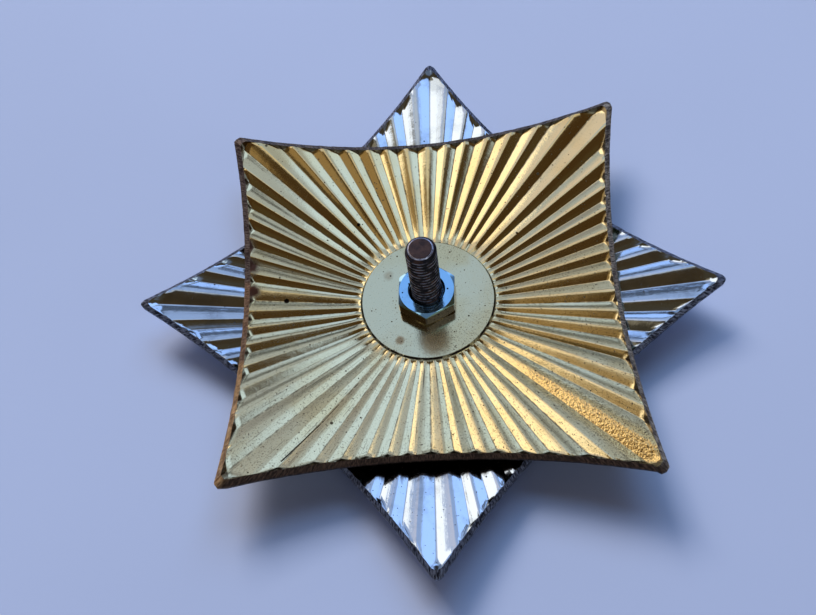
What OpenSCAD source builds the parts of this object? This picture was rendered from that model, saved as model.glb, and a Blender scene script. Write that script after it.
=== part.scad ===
// Breast badge lying face down: two ribbed star plates on a threaded post.
// The post stands along +Z, and the origin is the middle of the face that it lies on.

/* [Star plates] */
// Reach of the gold plate's corners from the post
gold_reach = 28.5; // [24:0.5:34]
// Reach of the silver plate's points from the post
silver_reach = 28.9; // [24:0.5:34]
// How far the middle of each side bows in from a straight line
side_bow = 2.0; // [0.5:0.1:3]
// Radius that blunts each corner
tip_round = 0.8; // [0.4:0.1:1.2]
// Thickness of the sheet
sheet_t = 0.8; // [0.5:0.05:0.8]
// Rise of each plate for each millimetre outwards
dish_slope = 0.19; // [0.1:0.01:0.25]
// Gap between the two sheets outside the centre
plate_gap = 0.9; // [0.6:0.1:1]

/* [Ribs] */
// Ribs between two corners
ribs_per_side = 14; // [8:1:16]
// Slope of a rib's flank in degrees
rib_angle = 12; // [6:1:13]
// Width of a corner's rib against the others
corner_rib_ratio = 1.25; // [1:0.05:1.5]
// Width of the ribs beside the middle of a side against the others
middle_rib_ratio = 1.3; // [1:0.05:1.5]

/* [Rim] */
// Width of the sloping cut edge seen from the back
rim_w = 0.64; // [0.5:0.01:0.8]
// Drop of the cut edge across that width
rim_drop = 0.3; // [0.2:0.01:0.4]
// Length of the small wall that closes a valley between two ribs at the rim
valley_wall = 0.36; // [0.2:0.02:0.5]
// Height of the outermost edge
edge_h = 0.3; // [0.2:0.05:0.35]

/* [Centre] */
// Diameter of the flat round field in the middle of the back
field_d = 13.2; // [11:0.1:15]
// Height of that field above the ribs around it
field_h = 0.4; // [0.2:0.05:0.5]
// Play between pieces that lie on each other
seat_gap = 0.05; // [0.03:0.01:0.1]

/* [Post and nut] */
// Outside diameter of the thread
thread_d = 3; // [2.8:0.1:3]
// Diameter of the thread's core, which is all that is drawn inside the nut
core_d = 2.5; // [2:0.05:2.5]
// Height of the post above the flat field
post_h = 9.4; // [6:0.1:12]
// Clearance hole through the plates
hole_d = 3.3; // [3.3:0.05:3.6]
// Hexagon nut across its flats
nut_af = 5.5; // [5.5:0.1:7]
// Height of the nut
nut_h = 1.8; // [1.5:0.1:2.4]
// Diameter of the plain head on the front
head_d = 12.2; // [9:0.1:12.5]
// Height of the head, which the badge lies on
head_h = 1.5; // [1.5:0.1:3]

/* [Hidden] */
$fn = 96;

// Columns of a corner: bearing in degrees, reach past the plate's own reach, lift of its edge,
// extra bow of the side that follows it anticlockwise, and share of the cut edge's width
BEARING = 0;
REACH = 1;
LIFT = 2;
BOW = 3;
EDGE = 4;
gold_corners = [
    [45, 0.1, 0.1, 0.1, 0.85],
    [135, -0.3, -0.5, -0.3, 1],
    [225, -0.8, -0.2, 0.8, 0.85],
    [315, 0.3, -0.6, -0.1, 0.65]
];
silver_corners = [
    [-2, 0, 0, 0.2, 0.7],
    [87.3, 0.1, 0, 0.2, 0.7],
    [178.5, 0, 0, 0.2, 0.7],
    [269.7, -0.4, 0, 0.2, 0.7]
];

// Levels of the stack, from the surface that the badge lies on
silver_front_z = head_h + seat_gap;
silver_field_z = silver_front_z + sheet_t;
gold_front_z = silver_field_z + seat_gap;
gold_field_z = gold_front_z + sheet_t;
gold_dish_z = gold_field_z - field_h;
silver_dish_z = gold_dish_z - sheet_t - plate_gap;
nut_z = gold_field_z + seat_gap;
nut_top_z = nut_z + nut_h;
post_top_z = gold_field_z + post_h;

// The nut's bore, the countersink at its mouth and the bearing of one of its corners
nut_bore_d = core_d + 2 * seat_gap;
mouth_d = thread_d + 0.3;
mouth_h = 0.3;
nut_turn = 27;

// The dish starts flat at the foot of the field and turns into a cone
field_r = field_d / 2;
field_wall_w = 0.3;
dish_start_r = field_r + 0.6;
dish_bend = 1;
function dish(r) = let (u = max(r - dish_start_r, 0))
    dish_slope * (sqrt(u * u + dish_bend * dish_bend) - dish_bend);

// Half the height of the ribs at a radius: flanks of one slope, faded in at the dish's start
half_rib = 90 / ribs_per_side / 2;
function rib_fade(r) = min(max((r - field_r - field_wall_w) / 0.6, 0), 1);
function rib_amp(r) = rib_fade(r) * tan(rib_angle) * r * half_rib * PI / 180 / 2;

// Places of the rib lines along a side, counted in half ribs from its first corner
corner_room = corner_rib_ratio - 1;
middle_room = middle_rib_ratio - 1;
side_places = 2 * (ribs_per_side + corner_room + middle_room);
function place(i) = i + corner_room + middle_room * min(max(i - ribs_per_side + 1, 0), 2);

// A side of a plate is an arc that bows in between two corners
function polar(r, a) = [r * cos(a), r * sin(a)];
function virtual_reach(reach) = reach + 0.6 * tip_round;
function arc_distance(ray, centre, radius) = let (along = ray * centre)
    along - sqrt(max(along * along - centre * centre + radius * radius, 0));
function tip_distance(off, reach) = let (c = reach - tip_round, h = c * sin(off))
    abs(h) < tip_round ? c * cos(off) + sqrt(tip_round * tip_round - h * h) : 2 * reach;

// Columns of a line that runs out from the centre: angle, radius of the outline, cosine
// between line and edge, rib height from -1 to 1, lift, and share of the cut edge's width
ANGLE = 0;
OUT = 1;
COSINE = 2;
RIB = 3;
RISE = 4;
SHARE = 5;
function side_rows(a, b, reach) = let (
    span = b[BEARING] - a[BEARING] + (b[BEARING] < a[BEARING] ? 360 : 0),
    ra = reach + a[REACH],
    rb = reach + b[REACH],
    pa = polar(virtual_reach(ra), a[BEARING]),
    pb = polar(virtual_reach(rb), b[BEARING]),
    across = pb - pa,
    chord = norm(across),
    bow = side_bow + a[BOW],
    radius = (chord * chord / 4 + bow * bow) / (2 * bow),
    centre = (pa + pb) / 2 + [across[1], -across[0]] / chord * (radius - bow),
    tip_turn = 1.2,
    turns = concat(
        [0, tip_turn],
        [for (i = [1 : 2 * ribs_per_side - 1]) span * place(i) / side_places],
        [span - tip_turn]),
    first = span * place(1) / side_places
) [for (i = [0 : len(turns) - 1]) let (
    turn = turns[i],
    angle = a[BEARING] + turn,
    ray = polar(1, angle),
    out = arc_distance(ray, centre, radius),
    outline = min(out, tip_distance(turn, ra), tip_distance(span - turn, rb)),
    cosine = max((ray * centre - out) / radius, 0.55),
    near_tip = i == 1 || i == len(turns) - 1,
    rib = i == 0 ? -1 : near_tip ? 2 * tip_turn / first - 1 : i % 2 == 0 ? 1 : -1,
    lift = a[LIFT] + (b[LIFT] - a[LIFT]) * turn / span,
    share = a[EDGE] + (b[EDGE] - a[EDGE]) * turn / span
) [angle, outline, cosine, rib, lift, share]];

function plate_rows(corners, reach) = [
    for (i = [0 : 3]) each side_rows(corners[i], corners[(i + 1) % 4], reach)
];

function surface_z(row, r, reach, rib) =
    dish(r) + rib * rib_amp(r) + row[RISE] * pow(r / reach, 2);

// The profile along one line, over the back, round the edge and back along the front.
// The ribs end in a level just below their crests, from which the cut edge slopes down.
rim_level = 0.6;
function profile(row, reach, field_up) = let (
    out = row[OUT],
    rib = row[RIB],
    rim_r = out - rim_w * row[SHARE] / row[COSINE],
    ribs_r = rim_r - valley_wall * (1.15 - rib) / 2 / row[COSINE],
    rim_z = surface_z(row, rim_r, reach, rim_level),
    edge_z = rim_z - rim_drop * row[SHARE],
    foot_r = field_r + field_wall_w,
    rings = [for (f = [0.03, 0.12, 0.3, 0.55, 0.78, 1]) dish_start_r + (ribs_r - dish_start_r) * f],
    front = [for (f = [0.95, 0.5, 0.18, 0]) dish_start_r + (ribs_r - dish_start_r) * f]
) concat(
    [[field_r, field_up], [foot_r, 0]],
    [for (r = rings) [r, surface_z(row, r, reach, rib)]],
    [[rim_r, rim_z], [out, edge_z], [out, edge_z - edge_h]],
    [for (r = front) [r, surface_z(row, r, reach, rib) - sheet_t]],
    [[foot_r, -sheet_t], [field_r, field_up - sheet_t]]);

module plate(corners, reach, z, field_up) {
    rows = plate_rows(corners, reach);
    lines = [for (row = rows) profile(row, reach, field_up)];
    n = len(rows);
    m = len(lines[0]);
    points = concat(
        [for (i = [0 : n - 1]) for (p = lines[i])
            [p[0] * cos(rows[i][ANGLE]), p[0] * sin(rows[i][ANGLE]), z + p[1]]],
        [[0, 0, z + field_up], [0, 0, z + field_up - sheet_t]]);
    skin = [for (i = [0 : n - 1]) for (j = [0 : m - 2]) let (
        a = i * m + j,
        b = (i + 1) % n * m + j
    ) each [[a, b, b + 1], [a, b + 1, a + 1]]];
    field = [for (i = [0 : n - 1]) let (a = i * m, b = (i + 1) % n * m)
        each [[n * m, b, a], [n * m + 1, a + m - 1, b + m - 1]]];
    difference() {
        polyhedron(points, concat(skin, field));
        cylinder(h = 4 * gold_field_z, d = hole_d, center = true);
    }
}

module gold_star() {
    color("darkkhaki")
        plate(gold_corners, gold_reach, gold_dish_z, field_h);
}

module silver_star() {
    color("lightsteelblue")
        plate(silver_corners, silver_reach, silver_dish_z, silver_field_z - silver_dish_z);
}

// Thin nut, its corners turned off by a cone at both ends
module hex_nut() {
    corner_d = nut_af / cos(30);
    cone_h = (corner_d - nut_af) / 2 * tan(30);
    color("gainsboro") translate([0, 0, nut_z]) rotate(nut_turn) difference() {
        intersection() {
            cylinder(h = nut_h, d = corner_d, $fn = 6);
            rotate_extrude() polygon([
                [0, 0], [nut_af / 2, 0], [corner_d / 2, cone_h],
                [corner_d / 2, nut_h - cone_h], [nut_af / 2, nut_h], [0, nut_h]
            ]);
        }
        translate([0, 0, -1])
            cylinder(h = nut_h + 2, d = nut_bore_d);
        translate([0, 0, nut_h - mouth_h])
            cylinder(h = mouth_h, d1 = nut_bore_d, d2 = mouth_d);
    }
}

// Post and front head are soldered together, so they are one solid
module threaded_post() {
    chamfer = 0.3;
    head_r = head_d / 2;
    core_r = core_d / 2;
    r = thread_d / 2;
    color("dimgray") rotate_extrude() polygon([
        [0, 0], [head_r - chamfer, 0], [head_r, chamfer], [head_r, head_h],
        [r, head_h], [r, gold_field_z], [core_r, gold_field_z], [core_r, nut_top_z],
        [r, nut_top_z], [r, post_top_z - chamfer], [r - chamfer, post_top_z], [0, post_top_z]
    ]);
}

gold_star();
silver_star();
hex_nut();
threaded_post();
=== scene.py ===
"""Breast badge lying face down: a gilt and a silver ribbed star, a nut and a threaded post."""

import math

import bmesh
import bpy
from bpy.props import FloatProperty, FloatVectorProperty, IntProperty, PointerProperty
from mathutils import Matrix, Vector, noise


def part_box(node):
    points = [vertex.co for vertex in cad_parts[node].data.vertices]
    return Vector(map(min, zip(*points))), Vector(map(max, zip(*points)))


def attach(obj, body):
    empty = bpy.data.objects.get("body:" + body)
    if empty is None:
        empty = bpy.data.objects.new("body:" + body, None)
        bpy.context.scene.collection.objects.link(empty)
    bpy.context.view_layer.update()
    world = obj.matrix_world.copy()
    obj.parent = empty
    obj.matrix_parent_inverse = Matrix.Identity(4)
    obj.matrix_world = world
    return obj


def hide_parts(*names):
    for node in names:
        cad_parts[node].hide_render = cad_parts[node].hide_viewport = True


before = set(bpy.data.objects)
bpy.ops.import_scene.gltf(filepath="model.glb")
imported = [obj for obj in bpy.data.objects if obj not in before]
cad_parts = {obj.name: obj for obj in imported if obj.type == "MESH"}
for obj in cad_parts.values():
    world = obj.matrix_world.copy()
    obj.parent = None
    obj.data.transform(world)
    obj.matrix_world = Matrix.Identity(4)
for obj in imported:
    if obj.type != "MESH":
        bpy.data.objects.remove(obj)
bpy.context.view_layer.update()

bl_info = {
    "name": "Breast Badge",
    "version": (1, 0, 0),
    "blender": (4, 5, 0),
    "location": "View3D > Sidebar > Badge",
    "description": "Models a ribbed two-plate breast badge seen from the back",
    "category": "Add Mesh",
}

MM = 0.001

# Taken from the part. These sizes and all below are in millimetres
NUT_FOOT, NUT_TOP = (corner[2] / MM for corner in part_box("hex_nut"))
POST_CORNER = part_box("threaded_post")[1]
HEAD_R, POST_TOP = POST_CORNER[0] / MM, POST_CORNER[2] / MM

SEAT_GAP = 0.05
SHEET_T = 0.8
GOLD_FIELD_Z = NUT_FOOT - SEAT_GAP
SILVER_FIELD_Z = GOLD_FIELD_Z - SHEET_T - SEAT_GAP

# How far the gold ribs start below their field and the silver ribs below the gold sheet, and how
# much steeper the silver ones are
GOLD_SINK = 0.28
SILVER_SINK = 1.02
SILVER_STEEPNESS = 1.15

# One row a corner, angles in degrees: its bearing, reach past the plate's own, lift of its edge,
# extra bow of the side that follows it anticlockwise, share of the cut edge's width, and how far
# the ribs are turned at the corner and sway in the middle of that side
GOLD_CORNERS = (
    {"bearing": 45.0, "reach": 0.1, "lift": 0.1, "bow": 0.1, "edge": 0.85, "twist": 0.9, "sway": 0.35},
    {"bearing": 135.0, "reach": -0.3, "lift": -0.5, "bow": -0.3, "edge": 1.0, "twist": 1.0, "sway": -1.5},
    {"bearing": 225.0, "reach": -0.8, "lift": -0.2, "bow": 0.8, "edge": 0.85, "twist": -0.9, "sway": 0.5},
    {"bearing": 315.0, "reach": 0.3, "lift": -0.6, "bow": -0.1, "edge": 0.65, "twist": -1.1, "sway": -0.35},
)
SILVER_CORNERS = tuple(
    {"bearing": bearing, "reach": reach, "lift": 0.0, "bow": 0.2, "edge": 0.7, "twist": 0.0, "sway": 0.0}
    for bearing, reach in ((-2.0, 0.0), (87.3, 0.1), (178.5, 0.0), (269.7, -0.4)))

# Where the lines of a rib's flank lie between valley and crest: the flank is steepest beside the
# sharp valley and eases off by FLANK_EASE towards the softer crest. The arcs are the shares of a
# flank that are rounded, and RIM_LEVEL is how high on the ribs the rim runs
FLANK_STEPS = (0.0, 0.03, 0.07, 0.25, 0.5, 0.75, 0.87, 0.95)
FLANK_EASE = 0.5
VALLEY_ARC = 0.06
CREST_ARC = 0.15
RIM_LEVEL = 0.6

# The nut: NUT_TRIM is the share of the hexagon that its corners and its top circle are turned to
NUT_BORE_R = 1.56
NUT_MOUTH_R = 1.85
NUT_MOUTH_H = 0.3
NUT_TRIM = 0.985
NUT_CONE = math.radians(30.0)
NUT_BEARING = math.radians(27.0)

# The post: the chamfer of its end is wider than high, and the thread fades out below that end
THREAD_R = 1.5
THREAD_DEPTH = 0.27
THREAD_END = 0.12
THREAD_FADE = 0.35
RINGS_A_TURN = 14
END_CHAMFER_W = 0.4
END_CHAMFER_H = 0.3
RUBBED_H = 0.1
HEAD_H = 1.5
HEAD_CHAMFER = 0.35
HEAD_BREAK = 0.15

# Faces that meet at more than this angle in degrees keep a sharp edge
SHARP = 35.0
NUT_SHARP = 20.0
POST_SHARP = 50.0

# Points nearer than MERGE are joined, and TOUCH is the play when places are compared
MERGE = 1e-4
TOUCH = 0.01

# Patterns that run round the plates measure angles along a circle of this radius
TURN_R = 25.0

# The cut edges from each bearing on: colour of the streaks and of the grime between them
# On the gold the sides differ by painted light and shade: darker where an edge faces away from the light
GOLD_EDGES_AS_LIT = (
    (45.0, (0.30, 0.23, 0.17), (0.04, 0.03, 0.03)),
    (135.0, (0.26, 0.20, 0.16), (0.05, 0.03, 0.025)),
    (172.0, (0.50, 0.32, 0.20), (0.10, 0.05, 0.03)),
    (200.0, (0.95, 0.62, 0.30), (0.26, 0.13, 0.055)),
    (225.0, (0.13, 0.08, 0.055), (0.03, 0.02, 0.015)),
    (315.0, (0.60, 0.50, 0.38), (0.07, 0.05, 0.04)),
)
SILVER_EDGES = (
    (-2.0, (0.26, 0.29, 0.38), (0.02, 0.02, 0.03)),
)
EDGE_BLEND = 0.5

# Marks on the gilt. Dots: x, y and radius. Stains: x, y, radius and strength; the last, wide one,
# just south of the nut, is painted shadow and reflection of the nut and post. The scratch's
# strokes: start, end, half width and the level of the ragged noise that breaks them. The hammered
# band lies along a line at HAMMERED_TURN, and a thin dark ring of painted shade, where the field
# steps down, runs FIELD_RING outside the field
GILT_DOTS = ((-6.9, 9.2, 0.22), (9.4, 6.7, 0.14), (-14.2, 0.4, 0.3), (-3.7, 2.9, 0.1))
GILT_STAINS_AND_SHADE = (
    (-18.6, 6.8, 1.3, 1.0), (-18.1, 4.2, 1.3, 1.0), (-17.6, 1.4, 0.9, 1.0),
    (-2.9, -4.5, 0.5, 0.6), (-3.9, 2.9, 0.6, 0.3), (0.5, -4.9, 1.7, 0.4))
GILT_SCRATCH = (
    ((-13.9, -17.2), (-10.2, -13.1), 0.06, 0.38), ((-10.2, -13.1), (-7.0, -9.0), 0.035, 0.42))
HAMMERED_TURN = -19.3
FIELD_RING = 0.14

# The studio's light from above: soft patches of the hemisphere, seen in plan, each over those
# before it. Where a patch is turned, the angle is in degrees
SKY = (
    # Behind the camera: a wall and two windows
    {"spot": (0, -0.6), "half": (0.85, 0.42), "soft": 0.15, "colour": (0.16, 0.18, 0.24)},
    {"spot": (0.48, -0.52), "half": (0.16, 0.2), "turn": 45, "soft": 0.2, "colour": (0.9, 0.95, 1)},
    {"spot": (-0.45, -0.55), "half": (0.1, 0.22), "turn": -35, "soft": 0.2, "colour": (0.8, 0.8, 0.85)},
    # In front of it: the far wall, blue along its foot, with a dim and two pale patches
    {"spot": (-0.02, 0.6), "half": (0.6, 0.36), "soft": 0.05, "colour": (0.35, 0.41, 0.6)},
    {"spot": (0.06, 0.9), "half": (0.28, 0.05), "soft": 0.3, "colour": (0.48, 0.64, 1.08)},
    {"spot": (-0.28, 0.81), "half": (0.12, 0.06), "soft": 0.3, "colour": (0.26, 0.28, 0.4)},
    {"spot": (-0.27, 0.51), "half": (0.12, 0.17), "soft": 0.3, "colour": (0.64, 0.57, 0.64)},
    {"spot": (-0.38, 0.345), "half": (0.09, 0.045), "soft": 0.2, "colour": (1.15, 1, 0.92)},
    # A white and a blue window, and the blue that the field mirrors
    {"spot": (-0.52, 0.5), "half": (0.135, 0.45), "soft": 0.04, "colour": (1.38, 1.2, 1.1)},
    {"spot": (0.42, 0.5), "half": (0.17, 0.4), "soft": 0.1, "colour": (0.56, 0.74, 1.2)},
    {"spot": (-0.07, 0.48), "half": (0.1, 0.11), "soft": 0.3, "colour": (0.37, 0.51, 0.88)},
    # Overhead: a dark core, a tan patch beside it and a pale bar beyond it
    {"spot": (-0.03, 0.07), "half": (0.27, 0.12), "soft": 0.1, "colour": (0.052, 0.029, 0.012)},
    {"spot": (-0.39, 0.14), "half": (0.12, 0.13), "soft": 0.1, "colour": (0.27, 0.19, 0.11)},
    {"spot": (-0.06, 0.275), "half": (0.27, 0.055), "soft": 0.2, "colour": (0.6, 0.55, 0.54)},
    # Low on the far wall: dark bars
    {"spot": (-0.04, 0.825), "half": (0.17, 0.026), "soft": 0.25, "colour": (0.05, 0.055, 0.07)},
    {"spot": (0.18, 0.765), "half": (0.11, 0.026), "turn": -30, "soft": 0.25, "colour": (0.09, 0.1, 0.14)},
    {"spot": (0, 0.98), "half": (0.45, 0.05), "soft": 0.2, "colour": (0.03, 0.025, 0.025)},
)

# The room between the patches, low down and overhead, and the height that no patch reaches below
SKY_LOW = (0.14, 0.16, 0.23)
SKY_HIGH = (0.06, 0.04, 0.02)
HORIZON = 0.02

# The lamps, which cast the shadows and are not mirrored: angles in degrees, lengths in metres
LAMPS = (
    {"name": "cool window", "bearing": 78.0, "elevation": 56.0, "size": (1.0, 0.8),
     "power": 9.5, "colour": (0.40, 0.68, 1.0)},
    {"name": "white window", "bearing": 114.0, "elevation": 46.0, "size": (0.50, 0.44),
     "power": 14.0, "colour": (1.0, 0.95, 0.88)},
)
LAMP_DISTANCE = 1.2

FLOOR_HALF = 2000.0

# How far the camera stands to the left of and below the line to the middle of the field
CAMERA_LEFT = 1.99
CAMERA_BELOW = 0.92


# Sizes and colours that a user would change


class BadgeSizes(bpy.types.PropertyGroup):
    gold_reach: FloatProperty(
        name="Gold reach", description="Reach of the gold plate's corners from the post",
        default=28.5 * MM, min=0.02, max=0.04, unit="LENGTH", precision=5)
    silver_reach: FloatProperty(
        name="Silver reach", description="Reach of the silver plate's points from the post",
        default=28.9 * MM, min=0.02, max=0.04, unit="LENGTH", precision=5)
    side_bow: FloatProperty(
        name="Side bow", description="How far the middle of each side bows in",
        default=2.0 * MM, min=0.0005, max=0.003, unit="LENGTH", precision=5)
    rib_angle: FloatProperty(
        name="Rib slope", description="Slope of a rib's flank",
        default=math.radians(12.0), min=0.05, max=0.3, unit="ROTATION")
    ribs_per_side: IntProperty(
        name="Ribs a side", description="Ribs between two corners", default=14, min=8, max=16)
    dish_slope: FloatProperty(
        name="Dish slope", description="Rise of each plate for its width outside the field",
        default=0.19, min=0.1, max=0.25)
    field_d: FloatProperty(
        name="Field diameter", description="Flat round field in the middle of the back",
        default=13.2 * MM, min=0.01, max=0.016, unit="LENGTH", precision=5)
    rim_w: FloatProperty(
        name="Rim width", description="Width of the sloping cut edge",
        default=0.64 * MM, min=0.0005, max=0.0008, unit="LENGTH", precision=5)
    thread_pitch: FloatProperty(
        name="Thread pitch", description="Distance between two turns of the thread",
        default=0.5 * MM, min=0.0004, max=0.0008, unit="LENGTH", precision=5)
    nut_flats: FloatProperty(
        name="Nut across flats", description="Width of the hexagon nut across its flats",
        default=5.5 * MM, min=0.005, max=0.007, unit="LENGTH", precision=5)


class BadgeColours(bpy.types.PropertyGroup):
    gilt: FloatVectorProperty(
        name="Gilt", description="Clean gilt brass", subtype="COLOR", size=3,
        default=(0.96, 0.87, 0.49), min=0.0, max=1.0)
    silver: FloatVectorProperty(
        name="Silver", description="Bright plated sheet", subtype="COLOR", size=3,
        default=(0.70, 0.87, 1.0), min=0.0, max=1.0)
    nut: FloatVectorProperty(
        name="Nut", description="Blue-white plated nut", subtype="COLOR", size=3,
        default=(0.42, 0.78, 1.0), min=0.0, max=1.0)
    post: FloatVectorProperty(
        name="Post", description="Blackened steel", subtype="COLOR", size=3,
        default=(0.022, 0.02, 0.023), min=0.0, max=1.0)
    floor: FloatVectorProperty(
        name="Floor", description="Plain pale floor", subtype="COLOR", size=3,
        default=(0.315, 0.352, 0.49), min=0.0, max=1.0)


class BadgeStage(bpy.types.PropertyGroup):
    elevation: FloatProperty(
        name="Elevation", description="Camera's angle above the floor",
        default=math.radians(60.73), unit="ROTATION")
    azimuth: FloatProperty(
        name="Azimuth", description="Camera's turn from the front to the right",
        default=math.radians(7.96), unit="ROTATION")
    roll: FloatProperty(
        name="Roll", description="Camera's turn about its own axis",
        default=math.radians(-10.88), unit="ROTATION")
    distance: FloatProperty(
        name="Distance", description="Camera's distance from the badge",
        default=103.0 * MM, unit="LENGTH", precision=4)
    lens: FloatProperty(
        name="Lens", description="Focal length in millimetres", default=45.4, min=20, max=100)


# Shader maths and finishes


class Value:
    """A socket of a finish that Python's operators work on."""

    def __init__(self, finish, socket):
        self.finish = finish
        self.socket = socket

    def _math(self, operation, *values):
        return self.finish.node("Math", {"operation": operation}, dict(enumerate(values)))

    def __abs__(self):
        return self._math("ABSOLUTE", self)

    def __add__(self, other):
        return self._math("ADD", self, other)

    def __sub__(self, other):
        return self._math("SUBTRACT", self, other)

    def __rsub__(self, other):
        return self._math("SUBTRACT", other, self)

    def __mul__(self, other):
        return self._math("MULTIPLY", self, other)

    def __lt__(self, other):
        return self._math("LESS_THAN", self, other)

    def __gt__(self, other):
        return self._math("GREATER_THAN", self, other)

    __radd__ = __add__
    __rmul__ = __mul__

    def between(self, low, high):
        """A smooth step from 0 at low to 1 at high, which may be the smaller one."""
        return self.finish.node(
            "MapRange", {"interpolation_type": "SMOOTHSTEP"},
            {"Value": self, "From Min": low, "From Max": high})


class Finish:
    """A node tree that is being made, for a material or for the studio's light."""

    def __init__(self, owner):
        owner.use_nodes = True
        self.owner = owner
        self.tree = owner.node_tree
        self.tree.nodes.clear()

    def node(self, kind, settings=None, inputs=None, output=0):
        """Makes any node from its type, its settings and the values or links of its sockets."""
        made = self.tree.nodes.new("ShaderNode" + kind)
        for name, value in (settings or {}).items():
            setattr(made, name, value)
        for name, value in (inputs or {}).items():
            if isinstance(value, Value):
                self.tree.links.new(value.socket, made.inputs[name])
            else:
                made.inputs[name].default_value = value
        return Value(self, made.outputs[output]) if made.outputs else made

    def mix(self, factor, first, second):
        """Mixes two colours."""
        pair = [c if isinstance(c, Value) else (*c[:3], 1.0) for c in (first, second)]
        return self.node("Mix", {"data_type": "RGBA"}, {0: factor, 6: pair[0], 7: pair[1]}, 2)

    def layers(self, tone, *covers):
        """Lays colours over a tone, each with its own cover from 0 to 1."""
        for cover, colour in covers:
            tone = self.mix(cover, tone, colour)
        return tone

    def place(self, scale=(1.0, 1.0, 1.0), turn=0.0, shift=(0.0, 0.0)):
        """Object coordinates in millimetres: stretched, turned about the post and shifted."""
        return self.node("Mapping", None, {
            "Vector": self.node("TexCoord", output="Object"), "Location": (*shift, 0.0),
            "Rotation": (0.0, 0.0, turn), "Scale": tuple(s / MM for s in scale)})

    def axis(self, vector, name):
        """One coordinate of a vector."""
        return self.node("SeparateXYZ", None, {"Vector": vector}, name)

    def attribute(self, name):
        return self.node("Attribute", {"attribute_name": name}, None, "Fac")

    def reach(self, place, x=0.0, y=0.0):
        """Distance in plan from a point."""
        away = self.node(
            "VectorMath", {"operation": "MULTIPLY_ADD"}, {0: place, 1: (1, 1, 0), 2: (-x, -y, 0)})
        return self.node("VectorMath", {"operation": "LENGTH"}, {0: away}, "Value")

    def turn(self, place):
        """Angle round the post, as a length along the circle of TURN_R."""
        sides = {0: self.axis(place, "Y"), 1: self.axis(place, "X")}
        return self.node("Math", {"operation": "ARCTAN2"}, sides) * TURN_R

    def cloud(self, place, size, detail=2.0, roughness=0.5):
        """Soft noise whose patches are about size millimetres across."""
        return self.node("TexNoise", None, {
            "Vector": place, "Scale": 1.0 / size, "Detail": detail, "Roughness": roughness})

    def rib_lines(self, place, stretch, size):
        """Noise that is drawn out along the ribs."""
        along = {"X": self.turn(place), "Y": self.reach(place) * stretch}
        return self.cloud(self.node("CombineXYZ", None, along), size)

    def specks(self, place, spacing, size, share):
        """Round specks: one in each cell of that spacing, in that share of the cells."""
        inputs = {"Vector": place, "Scale": 1.0 / spacing, "Randomness": 1.0}
        distance = self.node("TexVoronoi", None, inputs, "Distance")
        cell = self.node("TexVoronoi", None, inputs, "Color")
        chance = self.node("SeparateColor", None, {"Color": cell}, "Red")
        width = self.node("SeparateColor", None, {"Color": cell}, "Green")
        radius = (width * 0.7 + 0.3) * (size / spacing)
        return (distance < radius) * (chance < share)

    def patch(self, place, ragged, x, y, radius):
        """A patch with a ragged border round a point, for stains and for painted shade."""
        return (self.reach(place, x, y) + ragged * radius).between(radius * 1.7, radius * 0.9)

    def scratch(self, start, end, width):
        """A thin straight line between two points."""
        along = Vector(end) - Vector(start)
        turn = -math.atan2(along.y, along.x)
        spot = self.place(turn=turn, shift=-(Matrix.Rotation(turn, 2) @ Vector(start)))
        x, y = self.axis(spot, "X"), self.axis(spot, "Y")
        return (abs(y) < width) * (x > 0.0) * (x < along.length)

    def relief(self, *bumps):
        """A normal from bumps laid over each other: heights from 0 to 1 and their depths."""
        normal = None
        for height, depth in bumps:
            inputs = {"Height": height, "Strength": 1.0, "Distance": depth * MM}
            if normal:
                inputs["Normal"] = normal
            normal = self.node("Bump", None, inputs)
        return normal

    def surface(self, metallic, tone, rough, normal=None, specular=0.5):
        """Ends the tree in one Principled shader."""
        inputs = {
            "Metallic": metallic, "Base Color": tone, "Roughness": rough,
            "Specular IOR Level": specular}
        if normal:
            inputs["Normal"] = normal
        shader = self.node("BsdfPrincipled", None, inputs)
        self.node("OutputMaterial", None, {"Surface": shader})
        return self.owner


def new_finish(name):
    return Finish(bpy.data.materials.new(name))


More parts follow.
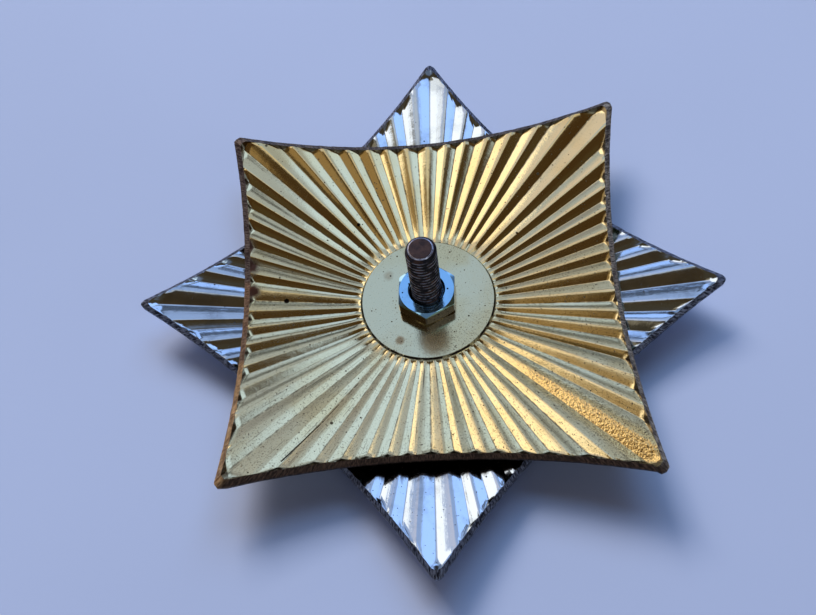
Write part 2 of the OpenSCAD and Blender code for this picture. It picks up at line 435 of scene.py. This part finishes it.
def gilt_finish(colour, field_r):
    """Gilt brass sheet: fine lines along the ribs, grain, pits, dirt, stains, a scratch and painted shade.
    """
    f = new_finish("gilt brass")
    place = f.place()
    patches = f.cloud(place, 7.0, 3.0)
    grain = f.cloud(place, 0.14, 3.0, 0.7)
    ragged = f.cloud(place, 0.9, 4.0, 0.7)
    radius = f.reach(place)
    lines = f.rib_lines(place, 0.05, 0.2)
    worn = (patches * 0.9 + f.axis(place, "Y") * -0.014).between(0.30, 0.66)
    aside = abs(f.turn(place) - HAMMERED_TURN)
    hammered = (aside + ragged * 0.8).between(2.4, 1.4) * radius.between(9.0, 15.0)
    pits = (grain + worn * 0.05 + hammered * 0.03) > 0.65
    dirt = f.specks(place, 0.75, 0.10, 0.5) + f.specks(place, 1.9, 0.17, 0.4)
    dirt = dirt + f.specks(place, 0.42, 0.075, 0.7) * patches.between(0.30, 0.52)
    # The valley bottoms darken with dirt and painted shade, and the valleys' ends by the rim with painted
    # shade
    valley_dirt_and_shade = f.attribute("rib").between(-0.86, -1.0) * ragged.between(0.42, 0.6)
    rib_end_shade = f.attribute("across").between(-0.64, -0.52) * ragged.between(0.25, 0.45)
    # Painted shade: a thin dark ring where the field steps down. The dots and the scratch are marks on the
    # gilt
    ring = abs(radius - (field_r + FIELD_RING) + ragged * 0.1)
    marks = ring.between(0.12, 0.04) * ragged.between(0.35, 0.5)
    for x, y, size in GILT_DOTS:
        marks = marks + f.reach(place, x, y).between(size, size * 0.7)
    for start, end, width, breaks in GILT_SCRATCH:
        marks = marks + f.scratch(start, end, width) * (ragged > breaks)
    # Stains, and south of the nut a wide painted shadow and reflection of the nut and post
    stain_and_shade = sum(
        f.patch(place, ragged, x, y, size) * strength for x, y, size, strength in GILT_STAINS_AND_SHADE)
    deep = tuple(c * k for c, k in zip(colour, (0.97, 0.90, 0.78)))
    tone = f.layers(
        f.mix(patches.between(0.42, 0.66), colour, deep),
        (hammered * 0.8, (1.0, 0.72, 0.26)),
        (lines.between(0.60, 0.72) * worn * 0.45, (0.18, 0.13, 0.07)),
        (valley_dirt_and_shade * 0.6 + rib_end_shade * 0.85, (0.10, 0.065, 0.03)),
        (pits * (worn * 0.45 + 0.35), (0.14, 0.09, 0.045)),
        (stain_and_shade, (0.11, 0.05, 0.03)),
        (dirt * 0.85, (0.05, 0.035, 0.02)),
        (marks, (0.03, 0.02, 0.012)))
    rough = 0.06 + f.cloud(place, 2.5, 3.0) * 0.05 + worn * grain * 0.14 + stain_and_shade * 0.3 + dirt * 0.3
    normal = f.relief(
        (grain, 0.002), (lines, 0.002), (f.cloud(place, 0.3, 2.0) * hammered, 0.04),
        (f.cloud(place, 0.8, 2.0), 0.005))
    return f.surface(1.0, tone, rough, normal)


def cut_edge_finish(name, sides, roughness):
    """A rim that was cut and filed: streaks run across it, lighter or darker from side to side by painted
    light and shade.
    """
    f = new_finish(name)
    around = f.attribute("around")
    along = {"X": around, "Y": f.attribute("across") * 0.22}
    streaks = f.cloud(f.node("CombineXYZ", None, along), 0.12, 3.0, 0.7)
    patches = f.cloud(f.place(), 1.1, 4.0, 0.7)
    streak, grime_and_shade = streaks.between(0.40, 0.62), patches.between(0.50, 0.66) * 0.7
    tone = None
    # Each side's colours are painted light and shade, blended into those of the next side
    for bearing, light, dark in sides:
        side = f.layers(dark, (streak, light), (grime_and_shade, dark))
        start = math.radians(bearing) * TURN_R
        if tone:
            side = f.mix(around.between(start - EDGE_BLEND, start + EDGE_BLEND), tone, side)
        tone = side
    return f.surface(0.9, tone, roughness + streaks * 0.2, f.relief((streaks, 0.05)))


def silver_finish(colour):
    """Bright plated sheet: lines along the ribs, a faint haze, specks, and dirt and painted shadow to the
    south.
    """
    f = new_finish("silver plate")
    place = f.place()
    y = f.axis(place, "Y")
    haze = f.cloud(place, 3.0, 4.0, 0.6)
    grain = f.cloud(place, 0.2, 2.0, 0.6)
    lines = f.rib_lines(place, 0.06, 0.3)
    specks = f.specks(place, 1.1, 0.11, 0.35) + f.specks(place, 0.5, 0.06, 0.4)
    specks = specks + f.specks(place, 0.36, 0.06, 0.8) * y.between(-12.0, -18.0)
    ragged = f.cloud(f.place((1.0, 0.3, 1.0)), 0.8, 3.0, 0.6)
    # Painted shadow with dirt: the south arm goes dark from about 20 mm south of the post up to the gold
    # plate's edge, which hangs over it
    grime_and_shade = (y - ragged * 3.0).between(-20.6, -19.6) * (y < -12.0)
    tone = f.layers(
        f.mix(haze.between(0.48, 0.72), colour, tuple(0.75 * c for c in colour)),
        (specks * 0.85, (0.03, 0.03, 0.04)),
        (grime_and_shade * 0.93, (0.05, 0.03, 0.015)))
    rough = 0.07 + haze * 0.07 + specks * 0.4
    normal = f.relief((grain, 0.002), (lines, 0.005), (f.cloud(place, 0.9, 2.0), 0.008))
    return f.surface(1.0, tone, rough, normal)


def nut_finish(colour):
    """Blue-white plating with pits that have gone dark, and sides painted brown as a dark reflection."""
    f = new_finish("plated nut")
    place = f.place()
    haze = f.cloud(place, 1.2, 3.0, 0.6)
    pits = f.specks(place, 0.5, 0.12, 0.6)
    # Painted reflection: below its top edge the nut's sides go dark brown
    below = (f.axis(place, "Z") + haze * 0.3).between(NUT_TOP - 0.05, NUT_TOP - 0.3)
    tone = f.layers(
        f.mix(haze.between(0.45, 0.75), colour, tuple(0.85 * c for c in colour)),
        (below * 0.9, (0.14, 0.075, 0.045)),
        (pits * 0.9, (0.02, 0.025, 0.04)))
    rough = 0.07 + haze * 0.08 + pits * 0.4
    normal = f.relief((f.cloud(place, 0.3, 2.0), 0.004), (1.0 - pits, 0.01))
    return f.surface(1.0, tone, rough, normal)


def blackened_finish(colour):
    """Blackened thread: oily dark steel, brown in patches, with painted highlights on its crests."""
    f = new_finish("blackened steel")
    place = f.place()
    patches = f.cloud(place, 0.7, 3.0, 0.6)
    grain = f.cloud(place, 0.08, 2.0, 0.6)
    crest = f.attribute("crest")
    tone = f.layers(
        f.mix(patches.between(0.45, 0.65), colour, (0.085, 0.045, 0.03)),
        # Painted highlights: pale blue-white on the crests of the thread, in patches
        (crest.between(0.8, 1.0) * patches.between(0.4, 0.6), (0.32, 0.33, 0.40)))
    return f.surface(0.9, tone, 0.30 + patches * 0.25, f.relief((grain, 0.006)))


def end_face_finish():
    """Sawn end of the post: brown and dull."""
    f = new_finish("sawn end")
    patches = f.cloud(f.place(), 0.9, 4.0, 0.65)
    saw = f.cloud(f.place((0.3, 6.0, 1.0), 0.6), 0.6, 2.0)
    tone = f.layers(
        f.mix(patches.between(0.35, 0.65), (0.07, 0.04, 0.035), (0.03, 0.02, 0.022)),
        (saw.between(0.55, 0.7) * 0.4, (0.12, 0.07, 0.045)))
    return f.surface(0.6, tone, 0.42 + saw * 0.15, f.relief((saw, 0.01)))


def rubbed_edge_finish():
    """Bare steel where the blackening has rubbed off an edge."""
    f = new_finish("rubbed edge")
    scratches = f.cloud(f.place(), 0.12, 3.0, 0.6)
    tone = f.mix(scratches.between(0.35, 0.6), (0.30, 0.32, 0.42), (0.80, 0.84, 0.95))
    return f.surface(1.0, tone, 0.22 + scratches * 0.2)


def head_finish():
    """Turned face of the plain head: rings from the lathe, small nicks."""
    f = new_finish("turned head")
    place = f.place()
    rings = f.node("TexWave", {"wave_type": "RINGS", "rings_direction": "Z"}, {
        "Vector": place, "Scale": 3.0, "Distortion": 0.6, "Detail": 2.0})
    haze = f.cloud(place, 2.0, 3.0)
    tone = f.layers(
        f.mix(haze.between(0.4, 0.7), (0.62, 0.63, 0.65), (0.42, 0.42, 0.44)),
        (f.specks(place, 1.2, 0.15, 0.4) * 0.8, (0.06, 0.05, 0.05)))
    return f.surface(1.0, tone, 0.24 + haze * 0.16, f.relief((rings, 0.008)))


def floor_finish(colour):
    """Smooth pale floor with the faintest clouds."""
    f = new_finish("pale floor")
    cloud = f.cloud(f.place(), 60.0, 2.0)
    tone = f.mix(cloud.between(0.3, 0.7), colour, tuple(0.96 * c for c in colour))
    return f.surface(0.0, tone, 0.7, specular=0.25)


# Shapes, worked out in millimetres


def blend(first, second, share):
    """The value at that share of the way from the first to the second."""
    return first + (second - first) * share


def ramp(value, start, length):
    """0 up to the start, 1 from the length past it on, and straight in between."""
    return min(max((value - start) / length, 0.0), 1.0)


class StarPlan:
    """Outline, dish and ribs of one plate."""

    hole_r = 1.6
    tip_round = 0.8

    # Width of the soft step down from the field
    field_wall = 0.22

    # The sides would meet this share of tip_round beyond the rounded tip, and least_cosine keeps
    # the rim from growing too wide there
    tip_beyond = 0.6
    least_cosine = 0.55

    # The dish bends up from dish_beyond_field outside the field, and the larger dish_bend is,
    # the softer
    dish_beyond_field = 0.6
    dish_bend = 1.0

    # Zones of the spun section in which the ribs and the rim begin
    rib_zone = 3.0
    rim_zone = 5.0

    # The ribs grow from rib_start outside the field, and those at the corners and in the middle
    # of a side are wider than the others by these ratios
    rib_start = 0.15
    rib_growth = 0.35
    corner_rib_ratio = 1.25
    middle_rib_ratio = 1.3

    # How far valleys and crests stray, in half ribs along the side and as a share of their height
    uneven_place = 0.3
    uneven_height = 0.2

    # The cut edge: its fall and height, and the wall that closes the valleys before it
    rim_drop = 0.3
    edge_h = 0.3
    valley_wall = 0.36
    valley_wall_bias = 1.15

    # Slow waves of the sheet outside the field, and the wobble of its cut edge
    wave_h = 0.035
    waves_a_mm = 0.16
    wave_start = 7.5
    wave_growth = 3.0
    wobble_zone = 4.5
    wobble_up = 0.04
    wobble_out = 0.05

    def __init__(self, corners, reach, dish_z, field_up, sizes, seed, steepness=1.0):
        self.corners = corners
        self.reach = reach
        self.dish_z = dish_z
        self.field_up = field_up
        self.seed = seed
        self.bow = sizes.side_bow / MM
        self.slope = sizes.dish_slope
        self.halves = 2 * sizes.ribs_per_side
        self.flank = math.tan(sizes.rib_angle) * steepness
        self.field_r = sizes.field_d / MM / 2
        self.rim_w = sizes.rim_w / MM
        self.lines = [line for i in range(4) for line in self.side_lines(i)]

    def swell(self, *spot, layer=0):
        """Smooth noise that is this plate's own."""
        return noise.noise(Vector((*spot, self.seed + layer)))

    def dish(self, r):
        """Rise of the dish at a distance from the centre."""
        u = max(r - self.field_r - self.dish_beyond_field, 0.0)
        return self.slope * (math.hypot(u, self.dish_bend) - self.dish_bend)

    def rib_height(self, r):
        """Height of a crest over the dish at a distance from the centre."""
        half_rib = math.pi / 2 / self.halves
        grown = ramp(r, self.field_r + self.rib_start, self.rib_growth)
        return grown * self.flank * r * half_rib / 2

    def outline(self, turn, side):
        """Distance to the outline along a ray, and the cosine between ray and edge normal."""
        angle = side["start"] + turn
        along = Vector((math.cos(angle), math.sin(angle))).dot(side["centre"])
        squared = along ** 2 - side["centre"].length_squared + side["radius"] ** 2
        out = along - math.sqrt(max(squared, 0.0))
        cosine = (along - out) / side["radius"]
        for off, reach in zip((turn, side["span"] - turn), side["reaches"]):
            core = reach - self.tip_round
            aside = core * math.sin(off)
            if abs(aside) < self.tip_round:
                cap = core * math.cos(off) + math.sqrt(self.tip_round ** 2 - aside ** 2)
                out = min(out, cap)
        return out, max(cosine, self.least_cosine)

    def side_lines(self, index):
        """The lines from the centre to one side: angle, outline, cosine, rib, lift and edge."""
        first, second = self.corners[index], self.corners[(index + 1) % 4]
        angles = [math.radians(corner["bearing"]) for corner in (first, second)]
        reaches = [self.reach + corner["reach"] for corner in (first, second)]
        a, b = (
            (reach + self.tip_beyond * self.tip_round) * Vector((math.cos(angle), math.sin(angle)))
            for angle, reach in zip(angles, reaches))
        span = (angles[1] - angles[0]) % math.tau
        bow = self.bow + first["bow"]
        across = b - a
        radius = (across.length ** 2 / 4 + bow ** 2) / (2 * bow)
        outwards = Vector((across.y, -across.x)).normalized()
        side = {"start": angles[0], "span": span, "reaches": reaches, "radius": radius,
                "centre": (a + b) / 2 + outwards * (radius - bow)}
        stops = [self.stop(index, i, span) for i in range(self.halves + 1)]
        lines = []
        for (near, low), (far, high) in zip(stops, stops[1:]):
            rising = low < high
            steps = FLANK_STEPS if rising else (0.0, *(1 - f for f in FLANK_STEPS[:0:-1]))
            for step in steps:
                turn = blend(near, far, step)
                share = turn / span
                turn += math.radians(
                    blend(first["twist"], second["twist"], share)
                    + first["sway"] * math.sin(math.pi * share))
                out, cosine = self.outline(turn, side)
                lines.append({
                    "angle": side["start"] + turn, "out": out, "cosine": cosine,
                    "rib": blend(low, high, self.flank_rise(step, rising)),
                    "lift": blend(first["lift"], second["lift"], share),
                    "edge": blend(first["edge"], second["edge"], share),
                })
        return lines

    def stop(self, index, i, span):
        """Turn and height of a valley or crest; those between two corners are uneven."""
        corner_more, middle_more = self.corner_rib_ratio - 1, self.middle_rib_ratio - 1
        level = -1.0 if i % 2 == 0 else 1.0
        if i in (0, self.halves):
            return (span if i else 0.0), level
        middles = min(max(i - self.halves // 2 + 1, 0), 2)
        slip = self.uneven_place * self.swell(i * 0.73, index * 5.1)
        growth = self.uneven_height * self.swell(i * 0.91, index * 3.7, layer=20)
        place = i + corner_more + middle_more * middles + slip
        return span * place / (self.halves + 2 * corner_more + 2 * middle_more), level * (1 + growth)

    @staticmethod
    def flank_rise(step, rising):
        """Share of a flank's height, on the way from valley to crest or down again."""
        t = step if rising else 1 - step
        shoulder = 1 - CREST_ARC
        foot, brow, here = (u - FLANK_EASE * u * u / 2 for u in (VALLEY_ARC, shoulder, t))
        slope = 1 - FLANK_EASE * shoulder
        full = VALLEY_ARC / 2 + brow - foot + slope * CREST_ARC / 2
        if t < VALLEY_ARC:
            rise = t ** 2 / (2 * VALLEY_ARC) / full
        elif t > shoulder:
            rise = 1 - slope * (1 - t) ** 2 / (2 * CREST_ARC) / full
        else:
            rise = (VALLEY_ARC / 2 + here - foot) / full
        return rise if rising else 1 - rise

    def surface(self, line, r, rib):
        """Height of the back where a line of that rib height is at a distance from the centre."""
        waves = self.waves_a_mm * r
        wave = self.swell(waves * math.cos(line["angle"]), waves * math.sin(line["angle"]))
        return (self.dish(r) + rib * self.rib_height(r) + line["lift"] * (r / self.reach) ** 2
                + self.wave_h * wave * ramp(r, self.wave_start, self.wave_growth))

    def point(self, line, s, h):
        """Where a vertex of the spun section goes: distance from the centre and height.

        s counts the zones outwards: 1 hole, 2 field's border, 3 foot of the ribs, 4 ends of the
        valleys, 5 rim and 6 outline. h is 1 on the back and -1 on the front.
        """
        skin = 0.0 if h > 0 else SHEET_T
        field_z = self.field_up - skin
        foot_r = self.field_r + self.field_wall
        out = line["out"]
        rim_r = out - self.rim_w * line["edge"] / line["cosine"]
        valley = (self.valley_wall_bias - line["rib"]) / 2
        ribs_r = rim_r - self.valley_wall * valley / line["cosine"]
        if s <= 2:
            return blend(self.hole_r, self.field_r, s - 1), field_z
        if s <= 3:
            t = s - 2
            return blend(self.field_r, foot_r, t), blend(field_z, -skin, t * t * (3 - 2 * t))
        if s <= 4:
            r = blend(foot_r, ribs_r, s - 3)
            return r, self.surface(line, r, line["rib"]) - skin
        ribs_z = self.surface(line, ribs_r, line["rib"])
        rim_z = self.surface(line, rim_r, RIM_LEVEL)
        edge_z = rim_z - self.rim_drop * line["edge"]
        if h < 0:
            t = (s - 4) / 2
            return blend(ribs_r, out, t), blend(ribs_z - skin, edge_z - self.edge_h, t)
        if s <= 5:
            return blend(ribs_r, rim_r, s - 4), blend(ribs_z, rim_z, s - 4)
        if s < 6:
            return blend(rim_r, out, s - 5), blend(rim_z, edge_z, s - 5)
        return out, edge_z - self.edge_h * (1 - h) / 2

    def wobble(self, line, s):
        """Unevenness of the cut edge: shifts outwards and up."""
        if s <= self.wobble_zone:
            return 0.0, 0.0
        return (self.wobble_out * self.swell(45 * line["angle"], 1.1 * s, layer=4),
                self.wobble_up * self.swell(60 * line["angle"], 1.7 * s))


def add_profile(bm, stops):
    """Draws an open chain by extruding a vertex: stops are (x, z, parts up to the next stop)."""
    first = bmesh.ops.create_vert(bm, co=(stops[0][0], 0.0, stops[0][1]))["vert"][0]
    last = first
    for (x, z, parts), (next_x, next_z, _) in zip(stops, stops[1:]):
        for part in range(1, parts + 1):
            last = bmesh.ops.extrude_vert_indiv(bm, verts=[last])["verts"][0]
            last.co = (blend(x, next_x, part / parts), 0.0, blend(z, next_z, part / parts))
    return first, last


def spin_full(bm, sectors, steps):
    """Spins a section through one sector, then repeats that sector round the post."""
    angle = math.tau / sectors
    bmesh.ops.spin(
        bm, geom=bm.verts[:] + bm.edges[:], cent=(0, 0, 0), axis=(0, 0, 1), angle=angle,
        steps=steps, use_merge=False)
    sector = bm.verts[:] + bm.edges[:] + bm.faces[:]
    for i in range(1, sectors):
        copy = bmesh.ops.duplicate(bm, geom=sector)["geom"]
        bmesh.ops.rotate(
            bm, cent=(0, 0, 0), matrix=Matrix.Rotation(angle * i, 3, "Z"),
            verts=[part for part in copy if isinstance(part, bmesh.types.BMVert)])
    bmesh.ops.remove_doubles(bm, verts=bm.verts, dist=MERGE)


def polar(co):
    """Distance from the post and angle round it."""
    return math.hypot(co.x, co.y), math.atan2(co.y, co.x)


def finish_mesh(bm, name, materials, sharp=SHARP):
    """Scales a bmesh from millimetres and turns it into an object with smooth faces."""
    bmesh.ops.recalc_face_normals(bm, faces=bm.faces)
    bmesh.ops.scale(bm, vec=(MM, MM, MM), verts=bm.verts)
    limit = math.radians(sharp)
    for face in bm.faces:
        face.smooth = True
    for edge in bm.edges:
        if len(edge.link_faces) == 2 and edge.calc_face_angle(0.0) > limit:
            edge.smooth = False
    mesh = bpy.data.meshes.new(name)
    bm.to_mesh(mesh)
    bm.free()
    for material in materials:
        mesh.materials.append(material)
    piece = bpy.data.objects.new(name, mesh)
    bpy.context.scene.collection.objects.link(piece)
    return piece


def take_place(piece, node):
    """Lets a piece stand for its solid."""
    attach(piece, "root")
    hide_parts(node)


def add_star(name, node, plan, face_finish, edge_finish):
    """Spins the sheet's section once round and moves each line of it to the plan.

    The section is drawn in the zones and heights of StarPlan.point.
    """
    bm = bmesh.new()
    first, last = add_profile(bm, (
        (1.0, 1.0, 5), (2.0, 1.0, 4), (3.0, 1.0, 32), (4.0, 1.0, 2), (5.0, 1.0, 4), (6.0, 1.0, 2),
        (6.0, -1.0, 2), (4.0, -1.0, 12), (3.0, -1.0, 2), (2.0, -1.0, 3), (1.0, -1.0, 0)))
    bmesh.ops.contextual_create(bm, geom=[first, last])
    count, ribs = len(plan.lines), 2 * plan.halves
    spin_full(bm, ribs, count // ribs)
    for face in bm.faces:
        zone = sum(polar(v.co)[0] for v in face.verts) / len(face.verts)
        on_front = face.calc_center_median().z < -1.0 + TOUCH
        face.material_index = 1 if zone > plan.rim_zone and not on_front else 0
    around, across, rib = (
        bm.verts.layers.float.new(layer) for layer in ("around", "across", "rib"))
    for vert in bm.verts:
        s, angle = polar(vert.co)
        line = plan.lines[round(angle / math.tau * count) % count]
        r, z = plan.point(line, s, vert.co.z)
        shift_out, shift_up = plan.wobble(line, s)
        r, z = r + shift_out, z + shift_up
        vert[around] = line["angle"] * TURN_R
        vert[across] = (s - plan.rim_zone) * plan.rim_w
        vert[rib] = line["rib"] if s > plan.rib_zone - TOUCH else 0.0
        vert.co = (r * math.cos(line["angle"]), r * math.sin(line["angle"]), plan.dish_z + z)
    take_place(finish_mesh(bm, name, (face_finish, edge_finish)), node)


def hexagon_reach(angle, flats):
    """Distance to the nut's side in a direction, its corners cut back to a circle."""
    off = (angle % (math.pi / 3)) - math.pi / 6
    return min(flats / 2 / math.cos(off), flats / math.sqrt(3) * NUT_TRIM)


def thread_rise(phase):
    """Height of a sixty degree thread: flat crest, straight flanks, rounded root."""
    flat, slope, roundness = 0.25, 2.6, 1.3
    rise = min(max(1 + flat - abs(phase - 0.5) * slope, 0.0), 1.0)
    return 1 - (1 - rise) ** roundness


# Operators, one for each piece or group of like pieces


class BADGE_OT_stars(bpy.types.Operator):
    """Add the gold and the silver ribbed star"""

    bl_idname = "badge.add_stars"
    bl_label = "Stars"

    def execute(self, context):
        sizes, colours = context.scene.badge_sizes, context.scene.badge_colours
        gold = StarPlan(
            GOLD_CORNERS, sizes.gold_reach / MM, GOLD_FIELD_Z - GOLD_SINK, GOLD_SINK, sizes,
            seed=3.7)
        silver_z = gold.dish_z - SHEET_T - SILVER_SINK
        silver = StarPlan(
            SILVER_CORNERS, sizes.silver_reach / MM, silver_z, SILVER_FIELD_Z - silver_z, sizes,
            seed=8.2, steepness=SILVER_STEEPNESS)
        add_star(
            "gold_star_sheet", "gold_star", gold, gilt_finish(tuple(colours.gilt), gold.field_r),
            cut_edge_finish("gilt cut edge", GOLD_EDGES_AS_LIT, roughness=0.34))
        add_star(
            "silver_star_sheet", "silver_star", silver, silver_finish(tuple(colours.silver)),
            cut_edge_finish("silver cut edge", SILVER_EDGES, roughness=0.28))
        return {"FINISHED"}


class BADGE_OT_nut(bpy.types.Operator):
    """Add the thin hexagon nut"""

    bl_idname = "badge.add_nut"
    bl_label = "Nut"

    def execute(self, context):
        flats = context.scene.badge_sizes.nut_flats / MM
        bm = bmesh.new()
        # Zones outwards: 1 bore, 2 mouth, 3 circle that the cones start from, 4 flats. The
        # heights are 2 on the top, 1 and 0 at the ends of the flats and -1 on the base
        first, last = add_profile(bm, (
            (1.0, 0.0, 4), (1.0, 1.0, 2), (2.0, 2.0, 3), (3.0, 2.0, 3), (4.0, 1.0, 4),
            (4.0, 0.0, 3), (3.0, -1.0, 0)))
        bmesh.ops.contextual_create(bm, geom=[first, last])
        spin_full(bm, 12, 20)
        for vert in bm.verts:
            s, angle = polar(vert.co)
            r, z = self.point(s, vert.co.z, hexagon_reach(angle, flats), flats / 2 * NUT_TRIM)
            angle += NUT_BEARING
            vert.co = (r * math.cos(angle), r * math.sin(angle), z)
        finish = nut_finish(tuple(context.scene.badge_colours.nut))
        take_place(finish_mesh(bm, "plated_nut", (finish,), NUT_SHARP), "hex_nut")
        return {"FINISHED"}

    @staticmethod
    def point(s, h, wall, ring_r):
        """Where a vertex of the spun section goes: distance from the post and height.

        wall is how far the nut's side is in that direction, and ring_r where the cones start.
        """
        drop = (wall - ring_r) * math.tan(NUT_CONE)
        mouth_z = NUT_TOP - NUT_MOUTH_H
        if s <= 2:
            # The spin leaves most points of the bore a hair past zone 1, so they gather at the
            # mouth's foot. Thread and plates hide that, and rounding s would cure it
            z = blend(NUT_FOOT, mouth_z, h) if s <= 1 else blend(mouth_z, NUT_TOP, s - 1)
            return blend(NUT_BORE_R, NUT_MOUTH_R, s - 1), z
        if s <= 3 and h > 0:
            return blend(NUT_MOUTH_R, ring_r, s - 2), NUT_TOP
        if h >= 1:
            return blend(ring_r, wall, s - 3), NUT_TOP - drop * (s - 3)
        if h >= 0:
            return wall, blend(NUT_FOOT + drop, NUT_TOP - drop, h)
        return blend(ring_r, wall, s - 3), NUT_FOOT + drop * (s - 3)


class BADGE_OT_post(bpy.types.Operator):
    """Add the threaded post with its plain head"""

    bl_idname = "badge.add_post"
    bl_label = "Post"

    def execute(self, context):
        pitch = context.scene.badge_sizes.thread_pitch / MM
        bm = bmesh.new()
        add_profile(bm, (
            (0.0, 0.0, 8), (HEAD_R - HEAD_CHAMFER, 0.0, 3), (HEAD_R, HEAD_CHAMFER, 6),
            (HEAD_R, HEAD_H - HEAD_BREAK, 2), (HEAD_R - HEAD_BREAK, HEAD_H, 8),
            (THREAD_R, HEAD_H, int((POST_TOP - HEAD_H) / pitch * RINGS_A_TURN)),
            (THREAD_R, POST_TOP - END_CHAMFER_H, 3), (THREAD_R - END_CHAMFER_W, POST_TOP, 8),
            (0.0, POST_TOP, 0)))
        spin_full(bm, 8, 12)
        self.cut_thread(bm, pitch)
        # Materials: 0 thread, 1 end face, 2 rubbed edge, 3 head
        for face in bm.faces:
            centre = face.calc_center_median()
            if centre.z > POST_TOP - TOUCH:
                face.material_index = 1
            elif centre.z > POST_TOP - RUBBED_H:
                face.material_index = 2
            elif polar(centre)[0] > THREAD_R + TOUCH or centre.z < HEAD_H:
                face.material_index = 3
        finishes = (
            blackened_finish(tuple(context.scene.badge_colours.post)), end_face_finish(),
            rubbed_edge_finish(), head_finish())
        take_place(finish_mesh(bm, "threaded_post_steel", finishes, POST_SHARP), "threaded_post")
        return {"FINISHED"}

    def cut_thread(self, bm, pitch):
        """Sinks the turns of the thread into the post and marks their crests."""
        crest = bm.verts.layers.float.new("crest")
        for vert in bm.verts:
            (r, angle), z = polar(vert.co), vert.co.z
            if not THREAD_R - END_CHAMFER_W / 2 <= r <= THREAD_R + TOUCH or z <= HEAD_H:
                continue
            rise = thread_rise((z / pitch - angle / math.tau) % 1.0)
            depth = ramp(POST_TOP - z, THREAD_END, THREAD_FADE)
            vert[crest] = rise if depth > 0.5 else 0.0
            scale = (r - THREAD_DEPTH * (1 - rise) * depth) / r
            vert.co.x *= scale
            vert.co.y *= scale


class BADGE_OT_stage(bpy.types.Operator):
    """Add the floor, the lights and the camera"""

    bl_idname = "badge.add_stage"
    bl_label = "Stage"

    def execute(self, context):
        self.add_floor(context)
        self.add_sky(context)
        for lamp in LAMPS:
            self.add_lamp(context, lamp)
        self.add_camera(context)
        return {"FINISHED"}

    def add_floor(self, context):
        bm = bmesh.new()
        bmesh.ops.create_grid(bm, x_segments=4, y_segments=4, size=FLOOR_HALF)
        finish = floor_finish(tuple(context.scene.badge_colours.floor))
        finish_mesh(bm, "floor", (finish,))

    def add_sky(self, context):
        """Soft studio light: the patches of SKY over a dim room, and none below the horizon."""
        world = bpy.data.worlds.new("studio")
        context.scene.world = world
        f = Finish(world)
        look = f.node("TexCoord", output="Generated")
        height = f.axis(look, "Z")
        tone = f.mix(height.between(0.35, 0.65), SKY_LOW, SKY_HIGH)
        for patch in SKY:
            spot = f.node("Mapping", {"vector_type": "TEXTURE"}, {
                "Vector": look, "Location": (*patch["spot"], 0.0), "Scale": (*patch["half"], 1.0),
                "Rotation": (0.0, 0.0, math.radians(patch.get("turn", 0.0)))})
            cover = f.reach(spot).between(1 + patch["soft"], 1 - patch["soft"])
            tone = f.mix(cover * (height > HORIZON), tone, patch["colour"])
        light = f.node("Background", None, {"Color": tone, "Strength": 1.0})
        f.node("OutputWorld", None, {"Surface": light})

    def add_lamp(self, context, lamp):
        light = bpy.data.lights.new(lamp["name"], "AREA")
        light.shape = "RECTANGLE"
        light.size, light.size_y = lamp["size"]
        light.energy = lamp["power"]
        light.color = lamp["colour"]
        holder = bpy.data.objects.new(lamp["name"], light)
        b, e = math.radians(lamp["bearing"]), math.radians(lamp["elevation"])
        spot = Vector((math.cos(b) * math.cos(e), math.sin(b) * math.cos(e), math.sin(e)))
        holder.location = spot * LAMP_DISTANCE
        holder.rotation_euler = spot.to_track_quat("Z", "Y").to_euler()
        holder.visible_glossy = False
        context.scene.collection.objects.link(holder)

    def add_camera(self, context):
        """Looks at the field's middle from the front and above, turned about its own axis."""
        stage = context.scene.badge_stage
        e, a, roll = stage.elevation, stage.azimuth, stage.roll
        back = Vector((math.sin(a) * math.cos(e), -math.cos(a) * math.cos(e), math.sin(e)))
        right = Vector((math.cos(a), math.sin(a), 0.0))
        up = back.cross(right)
        across = math.cos(roll) * right + math.sin(roll) * up
        upward = math.cos(roll) * up - math.sin(roll) * right
        spot = back * stage.distance - across * CAMERA_LEFT * MM - upward * CAMERA_BELOW * MM
        spot.z += GOLD_FIELD_Z * MM
        camera = bpy.data.cameras.new("camera")
        camera.lens = stage.lens
        camera.sensor_width = 36.0
        camera.clip_start = 0.005
        holder = bpy.data.objects.new("camera", camera)
        pose = Matrix((across, upward, back)).transposed().to_4x4()
        pose.translation = spot
        holder.matrix_world = pose
        context.scene.collection.objects.link(holder)
        context.scene.camera = holder
        context.scene.view_settings.view_transform = "Standard"


class BADGE_PT_panel(bpy.types.Panel):
    """Lists the pieces that can be added and their sizes and colours"""

    bl_label = "Breast Badge"
    bl_idname = "BADGE_PT_panel"
    bl_space_type = "VIEW_3D"
    bl_region_type = "UI"
    bl_category = "Badge"

    def draw(self, context):
        for operator in OPERATORS:
            self.layout.operator(operator.bl_idname)
        for group in GROUPS:
            settings = getattr(context.scene, group)
            box = self.layout.box()
            for name in settings.__annotations__:
                box.prop(settings, name)


GROUPS = {"badge_sizes": BadgeSizes, "badge_colours": BadgeColours, "badge_stage": BadgeStage}
OPERATORS = (BADGE_OT_stage, BADGE_OT_stars, BADGE_OT_nut, BADGE_OT_post)
CLASSES = (*GROUPS.values(), *OPERATORS, BADGE_PT_panel)


def register():
    for cls in CLASSES:
        bpy.utils.register_class(cls)
    for name, group in GROUPS.items():
        setattr(bpy.types.Scene, name, PointerProperty(type=group))


def unregister():
    for name in GROUPS:
        delattr(bpy.types.Scene, name)
    for cls in reversed(CLASSES):
        bpy.utils.unregister_class(cls)


def main():
    register()
    bpy.ops.badge.add_stage()
    bpy.ops.badge.add_stars()
    bpy.ops.badge.add_nut()
    bpy.ops.badge.add_post()


if __name__ == "__main__":
    main()
